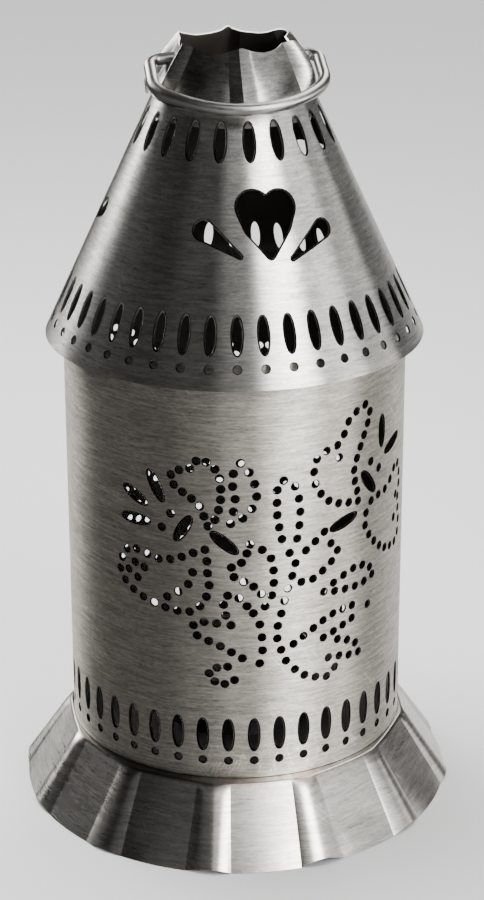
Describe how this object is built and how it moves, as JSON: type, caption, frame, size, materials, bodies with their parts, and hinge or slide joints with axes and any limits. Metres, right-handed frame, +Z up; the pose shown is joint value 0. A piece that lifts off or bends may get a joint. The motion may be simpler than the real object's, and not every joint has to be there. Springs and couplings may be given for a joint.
{
  "type": "hanging votive lantern",
  "caption": "Punched sheet-metal candle lantern: round body with slots and a flower spray, cone roof with hearts, fluted crown and skirt, and a swinging wire bail.",
  "frame": {"origin": "centre of the foot circle, on the surface it stands on", "axes": "+Z up along the lantern's axis, -Y towards the front where the bail lies at rest, +X along the bail's pivot axis to the right"},
  "size_m": [0.1495, 0.1492, 0.2514],
  "materials": {
    "brushed_sheet": "brushed round the body, satin",
    "inner_sheet": "plain mill surface",
    "rivet_metal": "plain",
    "wire": "polished wire, lightly worn"
  },
  "bodies": {
    "base": {"base_skirt": "brushed_sheet", "base_floor": "inner_sheet", "base_collar": "inner_sheet", "candle_cup": "inner_sheet", "cup_rivet": "rivet_metal"},
    "housing": {"lantern_body": "brushed_sheet", "body_seam": "brushed_sheet", "roof_tabs": "inner_sheet", "cone_roof": "brushed_sheet", "roof_seam": "brushed_sheet", "crown_collar": "inner_sheet", "crown": "brushed_sheet"},
    "bail": {"bail": "wire"}
  },
  "joints": [
    {"name": "lift_off", "type": "slide", "parent": "base", "child": "housing", "axis": [0, 0, 1], "range_m": [0, 0.08]},
    {"name": "bail_swing", "type": "hinge", "parent": "housing", "child": "bail", "pos_m": [0, 0, 0.2452], "axis": [-1, 0, 0], "range_deg": [0, 213]}
  ]
}
